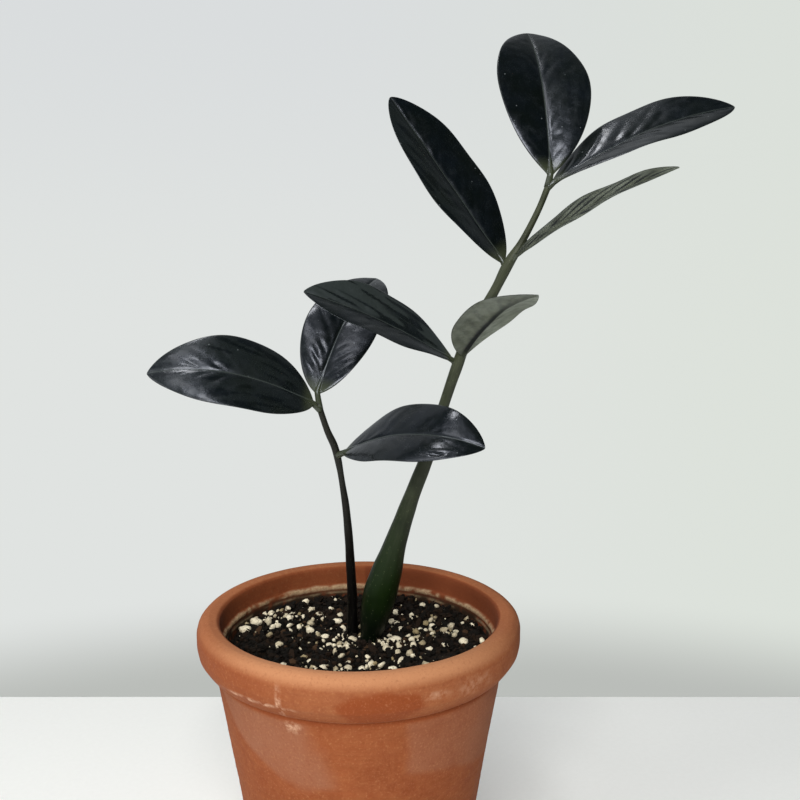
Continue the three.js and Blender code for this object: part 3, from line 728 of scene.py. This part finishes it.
# ----------------------------------------------------------------------------------------------------------
# The rhizome and its roots: a firm, potato-like tuber under both shoots, with thick pale roots, all hidden by
# the soil. They keep the frame's own shapes, and get a corky skin and a smooth one.
# ----------------------------------------------------------------------------------------------------------
for slot_name, name, light_code, dark_code, grain_mm, ridge_mm in (
    ("tuber", "corky_tuber_skin", "A58A5E", "6B5232", 3.0, 0.5),
    ("root", "fleshy_root_skin", "D9CBA6", "A8926A", 1.6, 0.2),
):
    skin, tree = blank_material(name)
    place = add(tree, "TexCoord").outputs["Object"]
    cork = add(
        tree,
        "TexNoise",
        {"Vector": place, "Scale": 1 / (grain_mm * MM), "Detail": 4.0, "Roughness": 0.65},
    ).outputs["Fac"]
    tint = add(tree, "MapRange", {0: cork, 1: 0.35, 2: 0.65}).outputs[0]
    dark, light = linear(dark_code), linear(light_code)
    colour = add(tree, "Mix", {0: tint, 6: dark, 7: light}, data_type="RGBA").outputs[2]
    rough = add(tree, "MapRange", {0: cork, 1: 0.3, 2: 0.7, 3: 0.65, 4: 0.9}).outputs[0]
    ridges = add(tree, "Bump", {"Height": cork, "Strength": 0.6, "Distance": ridge_mm * MM}).outputs[0]
    finish = add(tree, "BsdfPrincipled", {"Base Color": colour, "Roughness": rough, "Normal": ridges})
    add(tree, "OutputMaterial", {"Surface": finish.outputs[0]})
    for node_name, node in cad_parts.items():
        if node_name.startswith("root_" if slot_name == "root" else "rhizome"):
            for slot in node.material_slots:
                slot.material = skin

# ----------------------------------------------------------------------------------------------------------
# The stems: two leaf stalks of the plant, each swollen at its foot and growing straight out of the rhizome.
# They are fleshy, finely ribbed along their length, and bend a little at every leaflet.
# ----------------------------------------------------------------------------------------------------------
STEM_AROUND, STEM_ALONG = 48, 420
MAIN_STEM = [  # x, y, z and radius in mm
    (4, 7.6, 95, 3.8),
    (4.4, 7.2, 105, 4.1),
    (5, 6.6, 112, 4.9),
    (6.3, 6.1, 118, 6.3),
    (7.8, 5.7, 125, 7),
    (9.5, 5.2, 132, 7.3),
    (12.1, 4.5, 141, 6.6),
    (16.1, 3.6, 155, 4.8),
    (22, 2.3, 173, 3.5),
    (29, 1.1, 192, 3),
    (36.6, -0.5, 217, 2.3),
    (41.8, -1.8, 233, 2.4),
    (46.6, -2.7, 246, 2.1),
    (56.6, -3.9, 264, 2),
    (62, -4.6, 275, 2.2),
    (67.4, -5.3, 284, 1.5),
    (73.6, -6.1, 296.5, 1.35),
    (78.2, -7, 308.6, 1.2),
]
SIDE_STEM = [
    (-3.2, 14.4, 94, 2.3),
    (-3.7, 13.9, 108, 2.5),
    (-3.6, 12.6, 125, 2.35),
    (-4.4, 11.1, 144, 2),
    (-5.5, 9.5, 163, 1.8),
    (-7.6, 8, 181, 1.45),
    (-10.1, 6.9, 195, 1.5),
    (-13.7, 6.2, 204, 1.4),
    (-17.4, 5.3, 216, 1.25),
]


def through(stations, count):
    """A smooth line through the stations: between each two it is the cubic whose slope at either end is half
    the way from the station before to the one after. Radius goes along as a fourth column."""
    known = np.array(stations, float)
    ends = np.vstack([2 * known[0] - known[1], known, 2 * known[-1] - known[-2]])
    where = np.linspace(0, len(known) - 1, count)
    leg = np.minimum(where.astype(int), len(known) - 2)
    t = (where - leg)[:, None]
    before, a, b, after = (ends[leg + k] for k in range(4))
    slope_a, slope_b = (b - before) / 2, (after - a) / 2
    return (
        a * (2 * t**3 - 3 * t**2 + 1)
        + slope_a * (t**3 - 2 * t**2 + t)
        + b * (3 * t**2 - 2 * t**3)
        + slope_b * (t**3 - t**2)
    )


def stem(name, stations, ribs, seed):
    """A round stalk: rings square to its line, each a circle of the line's radius with shallow ribs along it,
    swelling and waving by noise. Its field skin is the stalk laid out straight, for streaks along it."""
    line = through(stations, STEM_ALONG)
    middle, radius = line[:, :3], line[:, 3:]
    ahead = np.gradient(middle, axis=0)
    ahead = ahead / np.linalg.norm(ahead, axis=1, keepdims=True)
    right = np.cross(ahead, [0.0, 1.0, 0.0])
    right = right / np.linalg.norm(right, axis=1, keepdims=True)
    forth = np.cross(ahead, right)
    turn = np.linspace(0, 2 * np.pi, STEM_AROUND, endpoint=False)[None]
    length = np.concatenate([[0], np.cumsum(np.linalg.norm(np.diff(middle, axis=0), axis=1))])[:, None]
    straight = np.stack([radius * np.cos(turn), radius * np.sin(turn), length + 0 * turn], -1)
    slow = straight / np.array([1, 1, 6])
    thick = radius * (1 + 0.012 * np.cos(ribs * turn + 0.02 * length)) + 0.1 * noise(slow, 1.6, seed)
    thick = thick + 0.12 * noise(straight, 7, seed + 1)
    ring = np.cos(turn)[..., None] * right[:, None] + np.sin(turn)[..., None] * forth[:, None]
    piece = loft(name, middle[:, None] + ring * thick[..., None])
    laid_out = np.vstack([straight.reshape(-1, 3), straight[0].mean(0), straight[-1].mean(0)])
    mark(piece, skin=laid_out * MM)
    return piece


# Fleshy stalk skin: waxy, quite glossy, streaked along its length; the main one goes from a deep bottle green
# foot to olive grey above, with tiny pale pores, and the side one is almost black.
STALKS = [
    # node, its stations, ribs, seed and slot; material, foot, lower, upper and streak colours, and pores
    (
        ("main_stem", MAIN_STEM, 9, 200, "stem_olive"),
        ("waxy_olive_stalk", "050C04", "122207", "3B3F30", "454A3A", 0.3),
    ),
    (
        ("side_stem", SIDE_STEM, 7, 210, "stem_black"),
        ("waxy_black_stalk", "030202", "080605", "23241F", "1D1A16", 0.15),
    ),
]
for (node, stations, ribs, seed, slot_name), skin_look in STALKS:
    name, foot_code, lower_code, upper_code, streak_code, pores = skin_look
    skin, tree = blank_material(name)
    laid = add(tree, "Attribute", attribute_name="skin").outputs["Vector"]
    place = add(tree, "TexCoord").outputs["Object"]
    along = add(tree, "SeparateXYZ", {0: laid}).outputs["Z"]
    drawn = add(tree, "Mapping", {"Vector": laid, "Scale": (1.0, 1.0, 0.06)}).outputs[0]
    streak = add(tree, "TexNoise", {"Vector": drawn, "Scale": 1 / (0.7 * MM), "Detail": 3.0}).outputs["Fac"]
    cloud = add(tree, "TexNoise", {"Vector": place, "Scale": 1 / (9 * MM), "Detail": 3.0}).outputs["Fac"]
    dots = add(tree, "TexVoronoi", {"Vector": laid, "Scale": 1 / (1.6 * MM), "Randomness": 1.0})
    low_rise, high_rise = (
        add(
            tree,
            "MapRange",
            {0: along, 1: start * MM, 2: end * MM},
            interpolation_type="SMOOTHSTEP",
        ).outputs[0]
        for start, end in ((20, 40), (40, 120))
    )
    lined, dusk, pore, rough = (
        add(tree, "MapRange", {0: source, 1: low, 2: high, 3: least, 4: most}).outputs[0]
        for source, low, high, least, most in (
            (streak, 0.45, 0.72, 0.0, 0.6),
            (cloud, 0.45, 0.7, 0.0, 0.4),
            (dots.outputs["Distance"], 0.1, 0.16, pores, 0.0),
            (streak, 0.3, 0.7, 0.32, 0.48),
        )
    )
    vein = add(tree, "Math", {0: lined, 1: high_rise}, operation="MULTIPLY").outputs[0]
    colour = linear(foot_code)
    for share, code in (
        (low_rise, lower_code),
        (high_rise, upper_code),
        (vein, streak_code),
        (dusk, foot_code),
        (pore, "6F7758"),
    ):
        colour = add(tree, "Mix", {0: share, 6: colour, 7: linear(code)}, data_type="RGBA").outputs[2]
    ribbing = add(tree, "Bump", {"Height": streak, "Strength": 0.4, "Distance": 0.15 * MM}).outputs[0]
    finish = add(
        tree,
        "BsdfPrincipled",
        {"Base Color": colour, "Roughness": rough, "Normal": ribbing, "Specular IOR Level": 0.2},
    )
    add(tree, "OutputMaterial", {"Surface": finish.outputs[0]})
    piece = stem(node.replace("stem", "stalk"), stations, ribs, seed)
    piece.data.materials.append(skin)
    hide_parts(node)
    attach(piece, "root")

# ----------------------------------------------------------------------------------------------------------
# The leaflets: nine thick, waxy blades on short stalks, six on the main stem and three on the side one.
# Mature ones are black above; below they are a dull grey green. Veins quilt the blade.
# ----------------------------------------------------------------------------------------------------------
LEAF_ALONG, LEAF_ACROSS = 176, 57
LEAF_HALF_THICKNESS, STALK_RADIUS = 0.42, 1.3
VEIN_PAIRS, VEIN_SLANT = 9.0, 0.24
CREASED, CREASE_AT, CREASE_SIZE = "leaflet_side_right", (0.77, -0.78), (2.6, 0.8)
LEAFLETS = {
    # Where the stalk leaves the stem, and where the blade starts; its heading, rise, roll, arch and twist in
    # degrees, and sway; its length and half width in mm, where it is widest, taper, fold in degrees, and cup.
    # Then its looks: the depth of the quilting in mm, how dark the painted shade in the valleys below is, how
    # much fuller the left and the right half are, the film on the left and the right half, and how dark the
    # painted shade along the midrib and over one half below is.
    "leaflet_top": (
        (77.2, -6.8, 306), (78, -7, 310.5), (94, 73, -3, 41, 0, 0.01),
        (77.5, 19, 0.53, 0.74, 14, 0.11), (0.27, 0.4, 0.03, 0.04, 0.0, 0.08, 0.0),
    ),
    "leaflet_upper_right": (
        (77, -6.7, 305.4), (79.2, -7, 307.3), (3, 33.5, -17, 26, -26, -0.02),
        (80.5, 16, 0.5, 0.74, 17, 0.11), (0.52, 0.4, 0.0, 0.0, 0.08, 0.0, 0.0),
    ),
    "leaflet_lower_right": (
        (61.4, -4.5, 274), (64.6, -6, 278.3), (9.5, 36.5, 22.5, 21, -6, 0.01),
        (77, 15.5, 0.49, 0.76, 12, 0.14), (0.5, 1.5, 0.0, 0.05, 0.0, 0.0, 0.0),
    ),
    "leaflet_upper_left": (
        (61.8, -4.5, 272.6), (60, -4, 275.8), (170, 55, 35, 2, 8, -0.01),
        (81.5, 16.5, 0.5, 0.69, 17, 0.11), (0.4, 0.4, 0.0, 0.04, 0.24, 0.0, 0.0),
    ),
    "leaflet_middle_left": (
        (40.6, -1.6, 231), (40, -2, 234.8), (198, 32, 29, 17, 15, 0),
        (69.5, 16.5, 0.52, 0.78, 19, 0.1), (0.35, 0.4, 0.0, 0.0, 0.1, 0.8, 0.0),
    ),
    "leaflet_middle_right": (
        (41.8, -1.8, 233), (44, -3.2, 237), (-71, 36, -11, 26, 21, 0.01),
        (68.5, 14, 0.46, 1.0, 21, 0.19), (0.12, 0.14, 0.0, 0.0, 0.0, 0.0, 0.9),
    ),
    "leaflet_side_left": (
        (-16.4, 5.6, 212.6), (-19.4, 5, 215.5), (212, 31, 49, 59, 12, 0.01),
        (73.5, 17.5, 0.47, 0.76, 11, 0.14), (0.27, 0.4, 0.0, 0.07, 0.2, 0.25, 0.0),
    ),
    "leaflet_side_middle": (
        (-16.6, 5.5, 213.4), (-17.6, 6, 220), (57, 61, -19, 52, -4, -0.02),
        (76.5, 17, 0.47, 0.74, 12, 0.14), (0.4, 0.4, 0.0, 0.0, 0.0, 0.0, 0.0),
    ),
    "leaflet_side_right": (
        (-9.4, 7.2, 192.4), (-6.2, 3.4, 194.4), (-45, 28, -36, 53, -8, -0.02),
        (71.5, 16.5, 0.52, 0.76, 12, 0.14), (0.28, 0.4, 0.06, 0.0, 0.0, 0.0, 0.0),
    ),
}


def leaflet(name, joint, base, pose, shape, look, seed, crease):
    """A blade on its stalk. Its spine leaves base along heading and rise, and bends down by arch times s to
    the 1.3 while it twists, s being the share of the length. The half width follows two powers of s that meet
    at widest, and left_fuller and right_fuller widen a half, most near the base. Across, v from -1 to 1, the
    halves rise by fold and droop by cup times v squared. Both faces lie a half thickness off that, with a
    groove over the midrib, a ridge under it, and pillows quilt mm high between the veins. Painted shade
    darkens the valleys between the pillows below, as deep as the look's second value, and along the midrib
    and over the half where v is negative, as deep as its last. The film is thinner on wrinkles, which are
    noise drawn out along the veins. crease adds one dent with a raised edge."""
    heading, rise, roll, arch, twist = np.radians(pose[:5])
    sway = pose[5]
    length, half, widest, taper, fold, cup = shape
    quilt, valley_shade, left_fuller, right_fuller, left_film, right_film, fold_shade = look
    fold = np.radians(fold)
    t = np.linspace(0, 1, LEAF_ALONG)
    s = (0.7 * t + 0.3 * (1 - np.cos(np.pi * t)) / 2) * 0.9985
    first = np.array([np.cos(heading) * np.cos(rise), np.sin(heading) * np.cos(rise), np.sin(rise)])
    level = np.array([-np.sin(heading), np.cos(heading), 0.0])
    left = level * np.cos(roll) - np.cross(first, level) * np.sin(roll)
    up = np.cross(first, left)
    bend, curl = (arch * s**1.3)[:, None], (twist * s)[:, None]
    ahead = np.cos(bend) * first - np.sin(bend) * up
    above = np.cos(bend) * up + np.sin(bend) * first
    stretch = (ahead[1:] + ahead[:-1]) / 2 * np.diff(s)[:, None] * length
    spine = np.array(base) + np.vstack([np.zeros(3), np.cumsum(stretch, axis=0)])
    spine = spine + sway * length * (s**2)[:, None] * left
    side = np.cos(curl) * left - np.sin(curl) * above
    face = np.cos(curl) * above + np.sin(curl) * left

    a = np.linspace(-1, 1, LEAF_ACROSS)
    over = np.sign(a) * (0.5 * np.abs(a) + 0.25 * (1 - np.cos(np.pi * a)))
    v = np.concatenate([over, over[-2:0:-1]])[None]
    upper = np.concatenate([np.ones(LEAF_ACROSS), np.zeros(LEAF_ACROSS - 2)])[None]
    s = s[:, None]
    blade = half * (s / widest) ** (taper * widest / (1 - widest)) * ((1 - s) / (1 - widest)) ** taper
    stalk = STALK_RADIUS * (1 - s) ** 2
    blade = blade * (1 + np.where(v > 0, left_fuller, right_fuller) * (1 + 2 * (1 - s) ** 3))
    width = np.hypot(blade, stalk)
    x = v * width
    flat = np.stack([x + 0 * s, s * length + 0 * v, 0 * x], -1)

    ripple = noise(flat + np.array([seed * 40.0, 0, 0]), 15, seed)
    wave = 0.5 * np.abs(v) ** 3 * np.sin(2 * np.pi * (2.2 * s + 0.13 * seed + 0.3 * (v > 0)))
    wave = wave * np.sin(np.pi * s)
    lift = blade * (np.abs(v) * np.sin(fold) - cup * v**2) + wave + 0.35 * ripple * np.sin(np.pi * s)
    across = v * (blade * np.cos(fold) + (width - blade))

    phase = VEIN_PAIRS * (s**0.92 - VEIN_SLANT * np.abs(v) ** 0.85) + 0.45 * (v > 0)
    phase = phase + 0.22 * noise(flat, 13, seed + 3)
    pillow = (0.5 + 0.5 * np.cos(2 * np.pi * phase)) ** 0.55 - 0.62
    pillow = pillow * np.clip(0.6 + 0.9 * noise(flat, 7, seed + 4), 0.05, 1.3)
    pillow = pillow + 0.3 * noise(flat, 5, seed + 6)
    pillow = pillow * (1 - np.abs(v) ** 1.4) * smoothstep(np.abs(x), 0.4, 2.6) * smoothstep(s, 0.03, 0.15)
    drawn_out = np.stack([np.abs(x) - 0.16 * flat[..., 1], 0.14 * flat[..., 1], 3.0 * np.sign(v) + 0 * x], -1)
    wrinkle = smoothstep(noise(drawn_out, 1.5, seed + 8), 0.0, 0.4) * smoothstep(s, 0.05, 0.2)
    # Painted shade below: in the valleys between the pillows, and along the midrib and over the half that the
    # fold turns from the light.
    valley_and_fold_shade = smoothstep(-pillow, -0.1, 0.32) * valley_shade
    valley_and_fold_shade = valley_and_fold_shade + fold_shade * (0.95 * np.exp(-(((x + 0.7) / 1.1) ** 2)) * (1 - s**2) + 0.42 * (v < 0))
    pillow = quilt * pillow * (1 - 0.75 * smoothstep(s, 0.6, 1.0))
    pillow = pillow + 0.05 * noise(flat, 2.4, seed + 5) * (blade > 2)
    along, over_it = (s - CREASE_AT[0]) * length / CREASE_SIZE[0], (v - CREASE_AT[1]) * width / CREASE_SIZE[1]
    over_it = over_it - 0.25 * along**2
    raised, dent = np.exp(-(along**2) / 2.5 - (over_it - 1.9) ** 2), np.exp(-(along**2) - over_it**2)
    pillow = pillow + crease * (0.8 * raised - dent)

    rim = np.sqrt(np.maximum(0, 1 - np.abs(v) ** 7))
    thin = LEAF_HALF_THICKNESS * (1 - 0.5 * s) * rim
    rib_top = np.sqrt(np.maximum(0, (STALK_RADIUS * (1 - s) ** 9) ** 2 - x**2))
    rib_under = np.sqrt(np.maximum(0, (STALK_RADIUS * (1 - 0.8 * s) ** 2) ** 2 - x**2)) * 0.8
    groove = 0.3 * np.exp(-((x / 0.75) ** 2)) * smoothstep(s, 0.04, 0.2) * (1 - 0.6 * s) * (blade > 1)
    top = np.hypot(thin, rib_top) - groove
    under = -np.hypot(thin, rib_under) - 0.25 * groove
    out = np.where(upper > 0.5, top, under) + pillow * rim
    points = spine[:, None] + across[..., None] * side[:, None] + (lift + out)[..., None] * face[:, None]

    ring = points[0] - points[0].mean(0)
    inward = np.array(joint) - np.array(base)
    neck = [points[0].mean(0) + inward * k + ring * (1 + 0.25 * k) for k in (1.0, 0.75, 0.5, 0.25)]
    points = np.concatenate([np.array(neck), points])
    piece = loft(name, points)

    def spread(field):
        """A field of the blade as one number per point: the neck's 4 rings take the first row's, and the two
        end points the mean of their row."""
        rows = np.broadcast_to(field, (LEAF_ALONG, v.shape[1]))
        rows = np.concatenate([np.repeat(rows[:1], len(neck), axis=0), rows])
        return np.append(rows.ravel(), [rows[0].mean(), rows[-1].mean()])

    rib = np.exp(-((x / 0.24) ** 2)) * (1 - 0.5 * s)
    neckness = 1 - smoothstep(s, 0.015, 0.11)
    film = (right_film + (left_film - right_film) * smoothstep(v, -0.1, 0.1)) * (1 - 0.85 * wrinkle)
    laid_out = np.stack([spread(flat[..., 0]), spread(flat[..., 1]), spread(upper) * 30], -1)
    mark(
        piece,
        upper=spread(upper),
        rib=spread(rib),
        neck=spread(neckness),
        margin=spread(smoothstep(np.abs(v), 0.955, 0.995) + 0 * s),
        # streak carries the painted shade of the valleys and of the fold, for the underside's colour
        streak=spread(np.clip(valley_and_fold_shade, 0, 1)),
        film=spread(film),
        blade=(laid_out + [seed * 100.0, 0, 0]) * MM,
    )
    return piece


# Waxy leaf skin. Above it is black with a green and violet cast and a clear wax gloss, fine pores and a pale
# midrib, whose paleness is partly a painted highlight; below it is a dull grey green, with painted shade in
# the vein valleys and along the fold. Dust and dried drops leave dim smears and a few specks.
waxy, tree = blank_material("waxy_leaf_skin")
laid = add(tree, "Attribute", attribute_name="blade").outputs["Vector"]
upper, rib, neck, margin, streak, film = (
    add(tree, "Attribute", attribute_name=name).outputs["Fac"]
    for name in ("upper", "rib", "neck", "margin", "streak", "film")
)
cloud, cell, smear = (
    add(
        tree,
        "TexNoise",
        {"Vector": laid, "Scale": 1 / (size * MM), "Detail": detail, "Roughness": roughness},
    ).outputs["Fac"]
    for size, detail, roughness in ((14, 4.0, 0.6), (0.8, 3.0, 0.5), (5, 5.0, 0.7))
)
specks = add(tree, "TexVoronoi", {"Vector": laid, "Scale": 1 / (5.5 * MM), "Randomness": 1.0})
tint, dust, speck, mottled, gloss, matt = (
    add(tree, "MapRange", {0: source, 1: low, 2: high, 3: least, 4: most}).outputs[0]
    for source, low, high, least, most in (
        (cloud, 0.35, 0.65, 0.0, 1.0),
        (smear, 0.5, 0.8, 0.0, 0.18),
        (specks.outputs["Distance"], 0.035, 0.06, 0.55, 0.0),
        (smear, 0.45, 0.7, 0.0, 0.4),
        (smear, 0.3, 0.75, 0.15, 0.34),
        (smear, 0.3, 0.75, 0.5, 0.68),
    )
)
ribbed, edged, necked = (
    add(tree, "Math", {0: field, 1: share}, operation="MULTIPLY").outputs[0]
    for field, share in ((rib, 0.5), (margin, 0.5), (neck, 0.85))
)
faces = []  # the underside's colour, and the upper side's
for colour, layers in (
    # below, streak is painted shade in the vein valleys and along the fold
    ("656B57", ((tint, "939A8B"), (mottled, "2B3029"), (streak, "0C110A"), (ribbed, "23271F"))),
    # above, the pale midrib is partly a painted highlight
    ("050907", ((tint, "080D11"), (dust, "282D31"), (film, "2C3231"), (ribbed, "5A625F"), (speck, "7F868A"))),
):
    colour = linear(colour)
    for share, code in layers:
        colour = add(tree, "Mix", {0: share, 6: colour, 7: linear(code)}, data_type="RGBA").outputs[2]
    faces.append(colour)
colour = add(tree, "Mix", {0: upper, 6: faces[0], 7: faces[1]}, data_type="RGBA").outputs[2]
for share, code in ((edged, "1F2421"), (necked, "3B402F")):
    colour = add(tree, "Mix", {0: share, 6: colour, 7: linear(code)}, data_type="RGBA").outputs[2]
gloss = add(tree, "Math", {0: film, 1: 0.2, 2: gloss}, operation="MULTIPLY_ADD").outputs[0]
rough = add(tree, "Mix", {0: upper, 2: matt, 3: gloss}, data_type="FLOAT").outputs[0]
relief = {}
for height_map, strength, depth in ((smear, 0.25, 0.35), (cell, 0.25, 0.06)):
    bump = add(tree, "Bump", {"Height": height_map, "Strength": strength, "Distance": depth * MM, **relief})
    relief = {"Normal": bump.outputs[0]}
finish = add(
    tree,
    "BsdfPrincipled",
    {
        "Base Color": colour,
        "Roughness": rough,
        "IOR": 1.45,
        "Specular Tint": linear("DEE5FA"),
        "Coat Weight": 0.12,
        "Coat Roughness": 0.14,
        **relief,
    },
)
add(tree, "OutputMaterial", {"Surface": finish.outputs[0]})

for number, (node, (joint, base, pose, shape, look)) in enumerate(LEAFLETS.items()):
    crease = 0.9 if node == CREASED else 0.0
    piece = leaflet(node.replace("leaflet", "blade"), joint, base, pose, shape, look, number + 1, crease)
    piece.data.materials.append(waxy)
    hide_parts(node)
    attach(piece, "root")
